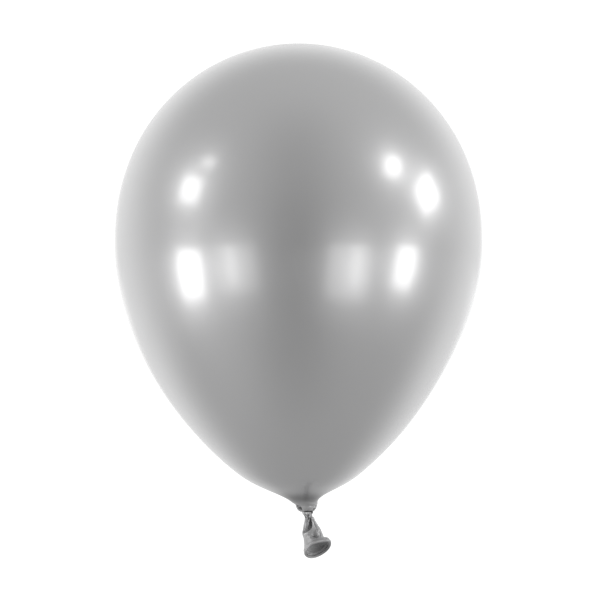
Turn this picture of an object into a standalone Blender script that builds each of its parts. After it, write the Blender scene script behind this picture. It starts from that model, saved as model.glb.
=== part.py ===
"""A round latex party balloon with a silver metallic finish, inflated and tied in its own neck.

Metres, +Z up. The origin is at the neck, where the skin meets the knot. -Y is the front.
"""

import math

import bmesh
import bpy
from mathutils import Vector

MM = 0.001

# Inflated skin: how far it reaches from its widest level, and the exponents of its two curves
WIDTH = 280 * MM
EQUATOR_HEIGHT = 195 * MM
CROWN_RISE = 154 * MM
TIP_DROP = 199 * MM
CROWN_CURVE = (2.15, 1.98)
LOWER_CURVE = (1.785, 0.71)
SKIN = 0.4 * MM
# The skin's side wall turns into the neck here, through the handles of one Bezier arc: (radius, height)
SHOULDER_HEIGHT = 12.2 * MM
SHOULDER_HANDLE = (27.6 * MM, 7.8 * MM)
NECK_HANDLE = (12.8 * MM, 2.2 * MM)
NECK_EDGE = (10.4 * MM, -1.0 * MM)
# Knotting pulls the neck to one side of the skin's own axis, and the lower wall bows a little
SIDE_SHIFT = 5.3 * MM
SHIFT_FADE = 8 * MM
BOW = 1.2 * MM
BOW_HEIGHT = 95 * MM
BOW_REACH = 45 * MM

# Knot
GAP = 0.3 * MM
STEM_RADIUS = 3.9 * MM
STEM_FLUTES = 9
STEM_FLUTE_DEPTH = 0.5 * MM
STEM_TOP = 5 * MM
STEM_FLARE = 8.5 * MM
# The knot is pulled a little to the right of the hole that the stem goes through
KNOT_X = 0.9 * MM
KNOT_TOP = -1.8 * MM
KNOT_BOTTOM = -8.4 * MM
KNOT_RADIUS = 7.4 * MM
KNOT_LIP_RADIUS = 5.3 * MM
CROSSING_RADIUS = 1.0 * MM

# Tail: the pinch where it leaves the knot is its hinge
PINCH = Vector((1.5, 0, -10.6)) * MM
PINCH_RADIUS = 2.6 * MM
MOUTH = Vector((8.4, -12.5, -35.8)) * MM
MOUTH_NORMAL = Vector((0.292, -0.766, -0.573)).normalized()
MOUTH_WIDE = Vector((0.891, 0, 0.454)).normalized()
TAIL_BEND = Vector((5.2, -1.8, -27.8)) * MM
TAIL_WALL = 0.5 * MM
BEAD_RADIUS = 1.25 * MM
MOUTH_HALF_WIDTH = 9.85 * MM
MOUTH_HALF_DEPTH = 7.0 * MM
# Sections of the tail: share of its length, half width mm, half depth mm, crease depth as a share
TAIL_SECTIONS = (
    (0.08, 3.3, 2.6, 0.08),
    (0.16, 4.4, 3.0, 0.30),
    (0.28, 5.3, 3.4, 0.42),
    (0.40, 6.7, 4.0, 0.34),
    (0.52, 7.3, 4.6, 0.20),
    (0.66, 8.2, 5.3, 0.10),
    (0.80, 8.7, 6.0, 0.04),
    (0.935, 9.6, 6.8, 0.0),
)
# The crease's place round the tail, from its right side towards its front, and its width
CREASE_PLACE = math.radians(62)
CREASE_WIDTH = math.radians(24)
# The hollow inside the tail starts at this section, and its end is this share above it
HOLLOW_FROM = 3
HOLLOW_ROUNDING = 0.05
# Levels of the pinch's ball that have a ring, in degrees above its middle
PINCH_LEVELS = (70, 45, 18, -12, -38)

# Facets
SKIN_SIDES = 48
CROWN_RINGS = 15
LOWER_RINGS = 15
NECK_RINGS = 6
KNOT_SIDES = 40
TAIL_SIDES = 36
BEAD_POINTS = 48

# Colours: stretched skin is lighter and glossier than the slack neck
SILVER = (0.62, 0.62, 0.63)
NECK_SILVER = (0.44, 0.44, 0.45)
BEAD_SILVER = (0.38, 0.38, 0.39)


def clear_scene():
    for obj in list(bpy.data.objects):
        bpy.data.objects.remove(obj)


def make_material(name, colour, roughness, metallic):
    material = bpy.data.materials.new(name)
    material.use_nodes = True
    shader = material.node_tree.nodes["Principled BSDF"]
    shader.inputs["Base Color"].default_value = (*colour, 1)
    shader.inputs["Roughness"].default_value = roughness
    shader.inputs["Metallic"].default_value = metallic
    return material


def add_object(name, data, material, collection):
    obj = bpy.data.objects.new(name, data)
    obj.data.materials.append(material)
    collection.objects.link(obj)
    return obj


def turned(name, outline, closed, sides, material, collection):
    """An outline of (radius, height) at +X, turned about Z by a Screw modifier."""
    mesh = bpy.data.meshes.new(name)
    points = [(radius, 0, height) for radius, height in outline]
    edges = [(point, point + 1) for point in range(len(points) - 1)]
    if closed:
        edges.append((len(points) - 1, 0))
    mesh.from_pydata(points, edges, [])
    obj = add_object(name, mesh, material, collection)
    turn = obj.modifiers.new("turn", "SCREW")
    turn.steps = sides
    turn.render_steps = sides
    turn.use_merge_vertices = True
    turn.merge_threshold = 0.01 * MM
    return obj


def mesh_from(name, shape):
    """A smooth mesh from a bmesh, which is freed."""
    mesh = bpy.data.meshes.new(name)
    shape.to_mesh(mesh)
    shape.free()
    mesh.shade_smooth()
    return mesh


def bezier(start, first, second, end, share):
    """A point of a cubic Bezier arc, for points of any size."""
    rest = 1 - share
    weights = (rest**3, 3 * rest**2 * share, 3 * rest * share**2, share**3)
    return tuple(
        sum(weight * value for weight, value in zip(weights, values))
        for values in zip(start, first, second, end)
    )


def axis_shift(height):
    """How far the skin's middle lies from the neck's, along X, at this height."""
    shift = 0.0
    if height > NECK_EDGE[1]:
        shift = -SIDE_SHIFT * (1 - math.exp((NECK_EDGE[1] - height) / SHIFT_FADE))
    return shift - BOW * math.exp(-(((height - BOW_HEIGHT) / BOW_REACH) ** 2))


def lower_radius(drop):
    power, closing = LOWER_CURVE
    return WIDTH / 2 * (1 - (drop / TIP_DROP) ** power) ** closing


def skin_outline():
    """(radius, height) from the crown down the outside to the hole that the stem goes through."""
    points = [(0.0, EQUATOR_HEIGHT + CROWN_RISE)]
    power, root = CROWN_CURVE
    for ring in range(1, CROWN_RINGS):
        share = math.cos(math.pi / 2 * ring / CROWN_RINGS)
        radius = WIDTH / 2 * (1 - share**power) ** (1 / root)
        points.append((radius, EQUATOR_HEIGHT + CROWN_RISE * share))
    last_angle = math.asin((EQUATOR_HEIGHT - SHOULDER_HEIGHT) / TIP_DROP)
    for ring in range(LOWER_RINGS + 1):
        drop = TIP_DROP * math.sin(last_angle * ring / LOWER_RINGS)
        points.append((lower_radius(drop), EQUATOR_HEIGHT - drop))
    shoulder = points[-1]
    for ring in range(1, NECK_RINGS + 1):
        points.append(
            bezier(shoulder, SHOULDER_HANDLE, NECK_HANDLE, NECK_EDGE, ring / NECK_RINGS)
        )
    hole = STEM_RADIUS + GAP
    points.append(((NECK_EDGE[0] + hole) / 2, NECK_EDGE[1] - SKIN))
    points.append((hole, NECK_EDGE[1] - SKIN))
    return points


def make_envelope(material, collection):
    """The inflated skin: its turned outline is bent towards the neck, then given its thickness inwards."""
    skin = turned("envelope", skin_outline(), False, SKIN_SIDES, material, collection)
    graph = bpy.context.evaluated_depsgraph_get()
    bent = bpy.data.meshes.new_from_object(skin.evaluated_get(graph))
    for vert in bent.vertices:
        vert.co.x += axis_shift(vert.co.z)
    skin.modifiers.clear()
    skin.data = bent
    wall = skin.modifiers.new("skin thickness", "SOLIDIFY")
    wall.thickness = SKIN
    wall.offset = -1
    wall.use_even_offset = True
    return skin


def loft(rings, start, end):
    """A closed bmesh through rings of equally many points, with a point closing each end."""
    shape = bmesh.new()
    rows = [[shape.verts.new(point) for point in ring] for ring in rings]
    count = len(rows[0])
    for upper, lower in zip(rows, rows[1:]):
        for side in range(count):
            after = (side + 1) % count
            shape.faces.new((upper[side], upper[after], lower[after], lower[side]))
    first = shape.verts.new(start)
    last = shape.verts.new(end)
    for side in range(count):
        after = (side + 1) % count
        shape.faces.new((first, rows[0][after], rows[0][side]))
        shape.faces.new((last, rows[-1][side], rows[-1][after]))
    bmesh.ops.recalc_face_normals(shape, faces=shape.faces)
    return shape


def make_neck_stem(material, collection):
    """The gathered neck: a fluted stem through the knot, flared over the hole inside the skin."""
    foot = PINCH.z + PINCH_RADIUS + GAP
    # Rings of the stem: radius, place along X, height
    outline = (
        (STEM_FLARE * 0.6, 0, STEM_TOP - 0.3 * MM),
        (STEM_FLARE, 0, STEM_TOP - 2 * MM),
        (STEM_FLARE * 0.9, 0, STEM_TOP - 3.4 * MM),
        (STEM_RADIUS * 1.15, 0, 0.3 * MM),
        (STEM_RADIUS, 0, -0.9 * MM),
        (STEM_RADIUS, 0, KNOT_TOP),
        (STEM_RADIUS, KNOT_X, KNOT_TOP - 2 * MM),
        (STEM_RADIUS * 0.86, KNOT_X, foot + 0.9 * MM),
        (STEM_RADIUS * 0.5, KNOT_X, foot + 0.2 * MM),
    )
    rings = []
    for radius, place, height in outline:
        ring = []
        for side in range(KNOT_SIDES):
            angle = 2 * math.pi * side / KNOT_SIDES
            flute = STEM_FLUTE_DEPTH * math.sin(STEM_FLUTES * angle / 2) ** 2
            reach = radius - flute
            ring.append(
                (place + reach * math.cos(angle), reach * math.sin(angle), height)
            )
        rings.append(ring)
    shape = loft(rings, (0, 0, STEM_TOP), (KNOT_X, 0, foot))
    return add_object("neck_stem", mesh_from("neck_stem", shape), material, collection)


def knot_outline():
    """(radius, height) round the section of the knot's turn, from its inner top over its outer side."""
    inner = STEM_RADIUS + GAP
    middle = (KNOT_TOP + KNOT_BOTTOM) / 2
    return (
        (inner + 0.2 * MM, KNOT_TOP - 1.6 * MM),
        (inner + KNOT_X, KNOT_TOP - 0.4 * MM),
        (inner + KNOT_X + 0.5 * MM, KNOT_TOP),
        (KNOT_RADIUS - 0.9 * MM, KNOT_TOP),
        (KNOT_RADIUS - 0.1 * MM, KNOT_TOP - 0.7 * MM),
        (KNOT_RADIUS, KNOT_TOP - 2 * MM),
        (KNOT_RADIUS - 0.5 * MM, middle - 0.4 * MM),
        (KNOT_RADIUS - 1.3 * MM, KNOT_BOTTOM + 1.4 * MM),
        (KNOT_LIP_RADIUS + 0.4 * MM, KNOT_BOTTOM + 0.4 * MM),
        (KNOT_LIP_RADIUS - 0.5 * MM, KNOT_BOTTOM),
        (inner + 0.1 * MM, KNOT_BOTTOM + 0.5 * MM),
        (inner, middle - 0.4 * MM),
    )


def make_knot_wrap(material, collection):
    """The turn of the neck round itself, as a solid ring with a rounded section."""
    wrap = turned("knot_wrap", knot_outline(), True, KNOT_SIDES, material, collection)
    wrap.location.x = KNOT_X
    return wrap


def make_knot_crossing(material, collection):
    """The strand that crosses the front left of the turn and tucks under it."""
    clear = CROSSING_RADIUS + GAP
    # Points along the strand: azimuth in degrees, distance out from the knot's middle, height
    route = (
        (-196, KNOT_RADIUS + clear, KNOT_TOP - 1.4 * MM),
        (-182, KNOT_RADIUS + clear, KNOT_TOP - 1.5 * MM),
        (-168, KNOT_RADIUS + clear, KNOT_TOP - 1.8 * MM),
        (-155, KNOT_RADIUS - 0.1 * MM + clear, KNOT_TOP - 2.6 * MM),
        (-143, KNOT_RADIUS - 0.4 * MM + clear, KNOT_TOP - 3.8 * MM),
        (-132, KNOT_RADIUS - 0.9 * MM + clear, KNOT_TOP - 5.1 * MM),
        (-122, KNOT_RADIUS - 1.5 * MM + clear, KNOT_TOP - 6.3 * MM),
    )
    path = bpy.data.curves.new("knot_crossing", "CURVE")
    path.dimensions = "3D"
    path.bevel_depth = CROSSING_RADIUS
    path.bevel_resolution = 2
    path.use_fill_caps = True
    spline = path.splines.new("POLY")
    spline.points.add(len(route) - 1)
    for point, (azimuth, reach, height) in zip(spline.points, route):
        angle = math.radians(azimuth)
        point.co = (
            KNOT_X + reach * math.cos(angle),
            reach * math.sin(angle),
            height,
            1,
        )
    return add_object("knot_crossing", path, material, collection)


def tail_point(share):
    """A point on the tail's middle line, which curves forward from the pinch to the mouth."""
    rest = 1 - share
    return rest**2 * PINCH + 2 * share * rest * TAIL_BEND + share**2 * MOUTH


def tail_directions(share):
    """The wide and deep directions of the tail's section, turning from the pinch's to the mouth's."""
    along = (1 - share) * (TAIL_BEND - PINCH) + share * (MOUTH - TAIL_BEND)
    along = along.normalized().lerp(MOUTH_NORMAL, share).normalized()
    wide = Vector((1, 0, 0)).lerp(MOUTH_WIDE, share)
    wide = (wide - wide.dot(along) * along).normalized()
    return wide, along.cross(wide)


def tail_ring(share, half_width, half_depth, crease):
    """One section: an oval with a crease pressed into its front."""
    wide, deep = tail_directions(share)
    middle = tail_point(share)
    ring = []
    for side in range(TAIL_SIDES):
        angle = 2 * math.pi * side / TAIL_SIDES
        from_crease = math.remainder(angle - CREASE_PLACE, 2 * math.pi)
        press = 1 - crease * math.exp(-((from_crease / CREASE_WIDTH) ** 2))
        flat = half_width * press * math.cos(angle)
        proud = half_depth * press * math.sin(angle)
        ring.append(middle + wide * flat + deep * proud)
    return ring


def pinch_rings():
    """The rounded top of the tail, a ball about the hinge, down to where the tail proper begins."""
    wide, deep = tail_directions(0)
    rings = []
    for level in PINCH_LEVELS:
        elevation = math.radians(level)
        reach = PINCH_RADIUS * math.cos(elevation)
        middle = PINCH + Vector((0, 0, PINCH_RADIUS * math.sin(elevation)))
        ring = []
        for side in range(TAIL_SIDES):
            angle = 2 * math.pi * side / TAIL_SIDES
            ring.append(
                middle + wide * reach * math.cos(angle) + deep * reach * math.sin(angle)
            )
        rings.append(ring)
    return rings


def make_tail(material, collection):
    """The slack end of the neck: a pinched top, a creased flattened tube, and a hollow open at the mouth."""
    outer = [
        tail_ring(share, width * MM, depth * MM, crease)
        for share, width, depth, crease in TAIL_SECTIONS
    ]
    inner = [
        tail_ring(share, width * MM - TAIL_WALL, depth * MM - TAIL_WALL, crease)
        for share, width, depth, crease in TAIL_SECTIONS[HOLLOW_FROM:]
    ]
    hollow_end = TAIL_SECTIONS[HOLLOW_FROM][0] - HOLLOW_ROUNDING
    shape = loft(
        pinch_rings() + outer + inner[::-1],
        PINCH + Vector((0, 0, PINCH_RADIUS)),
        tail_point(hollow_end),
    )
    return add_object("tail", mesh_from("tail", shape), material, collection)


def make_mouth_bead(material, collection):
    """The rolled rim, a round bead along the mouth's oval."""
    path = bpy.data.curves.new("mouth_bead", "CURVE")
    path.dimensions = "3D"
    path.bevel_depth = BEAD_RADIUS
    path.bevel_resolution = 3
    spline = path.splines.new("POLY")
    spline.points.add(BEAD_POINTS - 1)
    deep = MOUTH_NORMAL.cross(MOUTH_WIDE)
    for number, point in enumerate(spline.points):
        angle = 2 * math.pi * number / BEAD_POINTS
        place = (
            MOUTH
            + MOUTH_WIDE * MOUTH_HALF_WIDTH * math.cos(angle)
            + deep * MOUTH_HALF_DEPTH * math.sin(angle)
        )
        point.co = (*place, 1)
    spline.use_cyclic_u = True
    return add_object("mouth_bead", path, material, collection)


def main():
    clear_scene()
    balloon = bpy.data.collections.new("balloon")
    bpy.context.scene.collection.children.link(balloon)
    stretched = make_material("stretched_latex", SILVER, 0.22, 0.85)
    slack = make_material("slack_latex", NECK_SILVER, 0.42, 0.6)
    rolled = make_material("rolled_latex", BEAD_SILVER, 0.48, 0.5)
    make_envelope(stretched, balloon)
    make_neck_stem(slack, balloon)
    make_knot_wrap(slack, balloon)
    make_knot_crossing(slack, balloon)
    make_tail(slack, balloon)
    make_mouth_bead(rolled, balloon)


main()
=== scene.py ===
"""A round latex balloon with a silver metallic finish, dressed over its CAD frame.

Metres, +Z up. The origin is at the neck, -Y is the front. Each piece has its place in its mesh.
"""

import math

import bpy
import numpy as np
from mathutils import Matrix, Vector


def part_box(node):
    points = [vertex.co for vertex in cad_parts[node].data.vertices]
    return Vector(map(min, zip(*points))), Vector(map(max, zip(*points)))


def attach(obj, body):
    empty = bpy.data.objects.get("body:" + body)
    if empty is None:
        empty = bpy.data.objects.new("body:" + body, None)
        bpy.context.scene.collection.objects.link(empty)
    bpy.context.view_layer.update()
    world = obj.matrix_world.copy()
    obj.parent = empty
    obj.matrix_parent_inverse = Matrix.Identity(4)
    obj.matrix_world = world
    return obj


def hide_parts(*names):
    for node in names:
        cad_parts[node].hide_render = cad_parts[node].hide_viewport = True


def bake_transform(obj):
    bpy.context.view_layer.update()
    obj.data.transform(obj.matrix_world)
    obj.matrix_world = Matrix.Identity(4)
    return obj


bl_info = {
    "name": "Metallic Latex Balloon",
    "version": (1, 0, 0),
    "blender": (4, 5, 0),
    "location": "View3D > Sidebar > Balloon",
    "description": "Builds an inflated metallic latex balloon with its knot, tail and studio",
    "category": "Add Mesh",
}

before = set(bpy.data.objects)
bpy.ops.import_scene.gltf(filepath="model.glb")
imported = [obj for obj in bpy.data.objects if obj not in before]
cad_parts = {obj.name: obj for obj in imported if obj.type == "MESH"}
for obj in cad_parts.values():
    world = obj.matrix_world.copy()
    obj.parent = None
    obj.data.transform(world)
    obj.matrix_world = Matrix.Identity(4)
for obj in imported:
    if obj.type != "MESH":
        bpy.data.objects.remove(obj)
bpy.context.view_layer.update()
SKIN_LOW, SKIN_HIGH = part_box("envelope")
MM = 0.001

# Skin: shares of its rows where the cap, the lower side and the arc to the knot end
SKIN_SHARES = (0.44, 0.86, 0.985)
# Exponents of its upper and lower curves
CROWN_CURVE = (2.15, 1.98)
LOWER_CURVE = (1.785, 0.71)
# Height where its arc to the knot starts, that arc's other points (radius, height), and how far
# its edge is tucked in and down under the cuff, in mm
SHOULDER = 20
NECK_ARC = ((31.5, 9.1), (13.1, 5.2), (9.65, -1.25))
TUCK = (2.4, 0.5)
# It starts to lean to one side this far below the neck, and does most of it in this height, in mm
SHIFT_START = 2.4
SHIFT_REACH = 7.45
# It is slightly wider across the front than it is deep
FRONT_STRETCH = 1.0036

# Tail: its pinch, bend and mouth are where the CAD solids have them
PINCH = np.array((1.5, 0.0, -10.6))
TAIL_BEND = np.array((5.2, -1.8, -27.8))
MOUTH = np.array((8.5, -12.5, -35.2))
MOUTH_NORMAL = np.array((0.292, -0.766, -0.573))
MOUTH_NORMAL /= np.linalg.norm(MOUTH_NORMAL)
MOUTH_WIDE = np.array((0.891, 0.0, 0.454))

# The mouth's half length, its half depths at the lower back and upper front, and about their mean, in mm
MOUTH_REACH = 9.9
MOUTH_DEPTHS = (7.0, 5.7)
MEAN_DEPTH = 6.4
# Angles round the mouth are in degrees, from its right end over the upper front. A lobe has an
# amount, the angle where it is strongest and a width. These take the mouth off its oval, in mm.
MOUTH_CORNERS = ((1.35, 99, 32), (0.8, 212, 34), (-1.0, 26, 29))
# The upper lip: how far the tail swells and the rim rises there in mm, and its place and width
LIP_SWELL = 2.1
LIP_RISE = 1.05
LIP_PLACE = (28, 34.4)
# How far all the front of the tail swells near the mouth, in mm
FRONT_SWELL = 0.7
# Where the rim is thickest, and where it is thinner
RIM_THICK_PLACE = 43
RIM_THIN = (0.3, 122, 45.8)
# Painted shade at the rim's lower right and inner side; painted light at its lower left; lighter at its
# upper front
RIM_TONES = ((0.45, 320, 40), (-0.4, 228, 34), (-0.45, 100, 75))
RIM_INNER_TONES = ((0.9, 165, 45), (0.54, 325, 45))

# Rings of the tail: share of its length at its top, at its mouth and at the lining's inner end
TAIL_TOP = -0.115
TAIL_END = 0.985
LINING_END = 0.36
TAIL_RINGS = 226
LINING_RINGS = 94
TAIL_SIDES = 300

# Sections of the tail: share of its length, half width mm, half depth mm, shift to the right mm
TAIL_SECTIONS = (
    (-0.130, 2.7, 2.4, 0.3),
    (-0.095, 3.3, 2.9, 0.1),
    (-0.065, 3.9, 3.5, 0.0),
    (-0.020, 3.45, 3.1, -0.2),
    (0.012, 2.9, 2.6, 0.0),
    (0.040, 2.8, 2.5, 0.2),
    (0.080, 3.4, 2.7, 0.4),
    (0.160, 4.45, 3.0, 0.0),
    (0.280, 5.95, 3.4, -0.3),
    (0.380, 7.15, 4.0, -0.45),
    (0.520, 7.4, 4.6, 0.0),
    (0.660, 8.0, 5.3, -0.3),
    (0.800, 8.7, 6.1, -0.65),
    (0.900, 9.65, 6.9, -0.65),
    (0.950, 10.0, 7.4, -0.4),
    (0.985, 9.9, 7.1, 0.0),
)

# Folds of the tail, drawn from the front: route (x, z), then how far the surface stands out and how
# wide on the left of the route's direction, and the same on its right, in mm
FRONT_FOLDS = (
    # The long crease where the right panel laps over the left one, wider at its lower end
    (((3.6, -11.4), (4.2, -14.2), (4.5, -16.5), (4.6, -18.7), (4.2, -20.2), (3.0, -21.35), (1.4, -22.7),
      (-1.8, -24.2), (-3.4, -24.8)),
     0.5, 1.2, -1.3, 2.3),
    (((3.7, -11.8), (4.2, -14.2), (4.5, -16.5), (4.6, -18.7), (4.2, -20.4)), 0, 1, -0.8, 1.0),
    (((3.5, -14.4), (3.2, -17.6), (2.6, -20.0), (1.4, -21.7)), -0.75, 1.2, -0.75, 1.3),
    (((4.5, -15.6), (4.6, -18.7), (4.2, -20.2), (3.0, -21.6), (1.4, -22.9), (-1.8, -24.2), (-3.6, -24.9)),
     0, 1, -0.6, 3.2),
    # Pockets between the gathers below the knot
    (((-0.6, -9.9), (-0.3, -11.4), (0.1, -13.0)), -1.2, 0.45, -1.2, 0.45),
    (((1.6, -9.9), (1.8, -11.8), (2.1, -14.0)), -1.5, 0.6, -1.5, 0.6),
    # A line inside the right edge
    (((4.7, -12.2), (5.3, -14.1), (6.4, -15.8), (7.0, -17.3), (7.6, -18.9), (8.1, -20.8)),
     0, 0.8, -0.65, 0.55),
    # The hollow above the lip, deeper at its right end, and the ridge beside it
    (((2.6, -24.8), (5.4, -26.1), (7.8, -26.9), (11.6, -27.2)), -0.75, 2.6, -0.65, 0.7),
    (((4.0, -25.4), (6.6, -26.5), (8.8, -26.9), (11.4, -27.2)), -1.25, 2.3, -1.15, 0.6),
    (((8.0, -20.8), (8.8, -22.4), (9.2, -24.2), (9.3, -26.4), (9.5, -28.8)), 1.2, 1.2, 1.2, 0.6),
    (((9.8, -21.8), (10.7, -24.0), (11.0, -27.0)), -0.5, 0.6, -0.5, 0.6),
    (((1.2, -23.8), (2.8, -26.6), (4.6, -29.0), (6.4, -30.8)), 0.5, 1.8, 0.5, 2.4),
    # The left panel turns down at its outer edge
    (((-1.3, -24.8), (-1.1, -28.0), (-1.0, -31.6), (-0.6, -35.0)), 0, 1, -0.5, 0.7),
    (((-0.9, -15.0), (0.0, -18.2), (-0.2, -21.0)), 0.35, 1.2, 0.35, 1.2),
)
BACK_FOLDS = (
    (((2.0, -9.2), (1.2, -14.6), (0.8, -19.2), (-1.0, -24.6)), 0.4, 1.6, -1.3, 1.3),
    (((3.4, -9.6), (4.8, -14.2), (6.9, -19.4), (9.0, -26.2)), -1.1, 0.8, 0.3, 1.3),
    (((0.6, -9.2), (-0.3, -12.4), (-0.5, -15.6)), -0.9, 0.5, 0.1, 0.6),
    (((2.8, -10.2), (3.4, -14.0), (4.0, -18.2), (4.6, -23.4)), 0.5, 1.0, -0.7, 0.9),
    (((9.6, -24.2), (7.4, -28.2), (6.4, -33.0)), -0.7, 1.6, 0.35, 1.8),
    (((0.2, -27.0), (1.4, -31.0), (1.6, -36.0)), 0.35, 2.0, -0.5, 1.8),
)

# Rings of the knot's cuff and of the neck inside it
CUFF_RINGS = 150
NECK_RINGS = 40
# Where the cuff comes out of the skin: shares of the skin's last arc, and how far inside it, in mm
CUFF_START = ((0.80, 0.2), (0.86, 0.1), (0.91, 0.03), (0.955, -0.02), (1.0, -0.05))
# The neck inside the knot: place in this table, radius and height, in mm
NECK_COLUMN = ((0, 6.6, 3.2), (1, 5.2, 1.2), (2, 3.9, -0.8), (3, 3.1, -3.4), (4, 3.0, -6.6))
# Side of the cuff below the skin's edge: radius, height, place of its middle along X, in mm
CUFF_OUTLINE = (
    (9.25, -1.9, -0.35),
    (8.62, -2.7, 0.05),
    (8.05, -3.4, 0.35),
    (7.82, -4.2, 0.42),
    (7.45, -5.0, 0.60),
    (7.00, -5.7, 0.62),
    (6.35, -6.5, 0.55),
    (5.70, -7.0, 0.75),
    (5.15, -7.2, 0.90),
    (4.5, -7.35, 1.05),
    (3.9, -7.2, 1.1),
    (3.5, -6.8, 1.1),
    (3.3, -6.2, 1.1),
    (3.4, -5.2, 0.9),
)
# Dents in the cuff, drawn from the front as the tail's folds are
CUFF_FRONT_FOLDS = (
    (((-6.0, -4.4), (-5.1, -5.4), (-4.4, -6.1), (-3.7, -6.8)), -3.7, 0.95, -3.7, 0.95),
    (((8.6, -3.0), (7.2, -4.6), (6.2, -6.1), (5.4, -7.4)), -1.2, 0.6, -1.2, 0.6),
)
CUFF_BACK_FOLDS = (
    (((-8.8, -1.6), (-4.6, -3.4), (0.6, -4.9), (5.2, -7.4)), 0.25, 1.3, -1.0, 0.8),
    (((-3.8, -0.2), (1.6, -1.6), (6.2, -3.8), (8.4, -5.8)), 0.2, 1.2, -0.7, 0.7),
    (((-6.8, -4.4), (-4.2, -6.0), (-1.2, -7.6)), -0.9, 0.6, -0.6, 0.6),
)

# The strand: points of its path (x, y, z) and its thickness, in mm
STRAND_PATH = (
    ((-4.6, 5.4, -1.7), 0.8),
    ((-6.4, 3.4, -1.8), 0.95),
    ((-7.1, 0.2, -2.0), 1.0),
    ((-7.1, -2.8, -3.0), 0.95),
    ((-6.7, -4.3, -4.7), 0.8),
    ((-5.8, -4.9, -6.2), 0.7),
    ((-4.2, -4.8, -7.2), 0.75),
    ((-2.4, -4.1, -7.5), 0.8),
    ((-1.0, -2.8, -6.8), 0.7),
)
# Its other end, which shows below the cuff on the right
STRAND_END = (
    ((3.2, 0.6, -6.6), 1.0),
    ((4.1, -1.2, -7.2), 1.05),
    ((4.7, -2.4, -8.2), 1.05),
    ((4.7, -2.6, -9.4), 0.65),
)

# Studio lights: name, place round from the camera's side and above the level in degrees,
# width and height in m, turn in degrees, radiance
LIGHTS = (
    ("left wide box", -69.7, -13.3, 0.50, 0.58, -4, 3.5),
    ("left front panel", -38.5, -12.0, 0.76, 0.76, 0, 0.66),
    ("left front strip", -41, -12.0, 0.20, 0.56, 0, 1.2),
    ("left upper box", -72.0, 20.3, 0.42, 0.32, -1, 3.7),
    ("left top lamp", -65.6, 33.9, 0.29, 0.15, 2, 2.7),
    ("right wide box", 67.6, -10.9, 0.42, 0.585, -2, 3.4),
    ("right front panel", 30.5, -14.0, 0.78, 0.86, 0, 0.87),
    ("right front strip", 35, -12.5, 0.20, 0.62, 0, 1.2),
    ("right upper box", 88.0, 17.0, 0.515, 0.35, 17, 3.7),
    ("right top lamp", 67.5, 31.7, 0.43, 0.28, 21, 3.5),
)
LIGHT_DISTANCE = 1.7
LIGHT_AIM = Vector((-4, 0, 200)) * MM
# What the camera looks at, along X and up, in mm
VIEW_MIDDLE = (-4.58, 153.4)
FLOOR_REACH = 40


class SkinSettings(bpy.types.PropertyGroup):
    """Sizes of the inflated skin"""

    width: bpy.props.FloatProperty(
        name="Width",
        description="Across the skin at its widest level",
        default=SKIN_HIGH.y - SKIN_LOW.y,
        unit="LENGTH",
    )
    equator_height: bpy.props.FloatProperty(
        name="Widest Level",
        description="How far the widest level lies above the neck",
        default=195 * MM,
        unit="LENGTH",
    )
    crown_rise: bpy.props.FloatProperty(
        name="Crown Rise",
        description="How far the crown lies above the widest level",
        default=SKIN_HIGH.z - 195 * MM,
        unit="LENGTH",
    )
    tip_drop: bpy.props.FloatProperty(
        name="Tip Drop",
        description="How far the lower side would reach down if it closed to a point",
        default=199 * MM,
        unit="LENGTH",
    )
    side_shift: bpy.props.FloatProperty(
        name="Side Shift",
        description="How far the knot is pulled to one side of the skin's middle",
        default=5.65 * MM,
        unit="LENGTH",
    )
    rows: bpy.props.IntProperty(
        name="Rows", description="Rings of faces from the crown to the neck", default=220
    )
    sides: bpy.props.IntProperty(
        name="Sides", description="Faces round the skin", default=240
    )


class KnotSettings(bpy.types.PropertyGroup):
    """Sizes of the knot"""

    sides: bpy.props.IntProperty(
        name="Sides", description="Faces round the cuff", default=280
    )
    gathers: bpy.props.IntProperty(
        name="Gathers", description="Pleats of the neck inside the knot", default=13
    )
    strand: bpy.props.FloatProperty(
        name="Strand Thickness",
        description="Half the thickness of the strand that crosses the knot",
        default=0.95 * MM,
        unit="LENGTH",
    )


class TailSettings(bpy.types.PropertyGroup):
    """Sizes of the tail and its rim"""

    wall: bpy.props.FloatProperty(
        name="Wall",
        description="Thickness of the slack latex",
        default=0.5 * MM,
        unit="LENGTH",
    )
    rim: bpy.props.FloatProperty(
        name="Rim",
        description="Half the thickness of the rolled rim",
        default=1.18 * MM,
        unit="LENGTH",
    )
    rim_swell: bpy.props.FloatProperty(
        name="Rim Swell",
        description="How much thicker the rolled rim is at its upper right, as a share",
        default=0.14,
        subtype="FACTOR",
    )


class FinishSettings(bpy.types.PropertyGroup):
    """Colours of the latex"""

    stretched: bpy.props.FloatVectorProperty(
        name="Stretched Silver",
        description="Colour of the metallic pigment where the skin is stretched",
        default=(0.66, 0.66, 0.665),
        subtype="COLOR",
    )
    slack: bpy.props.FloatVectorProperty(
        name="Slack Silver",
        description="Colour of the metallic pigment where the latex is slack",
        default=(0.60, 0.60, 0.605),
        subtype="COLOR",
    )
    rolled: bpy.props.FloatVectorProperty(
        name="Rolled Silver",
        description="Colour of the rolled rim",
        default=(0.45, 0.45, 0.455),
        subtype="COLOR",
    )
    # A dark colour that paints the shade on the strand's end below the cuff
    shade_paint: bpy.props.FloatVectorProperty(
        name="Painted Shade Silver",
        description="Colour of the bunched latex that comes out under the knot",
        default=(0.20, 0.20, 0.20),
        subtype="COLOR",
    )


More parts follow.
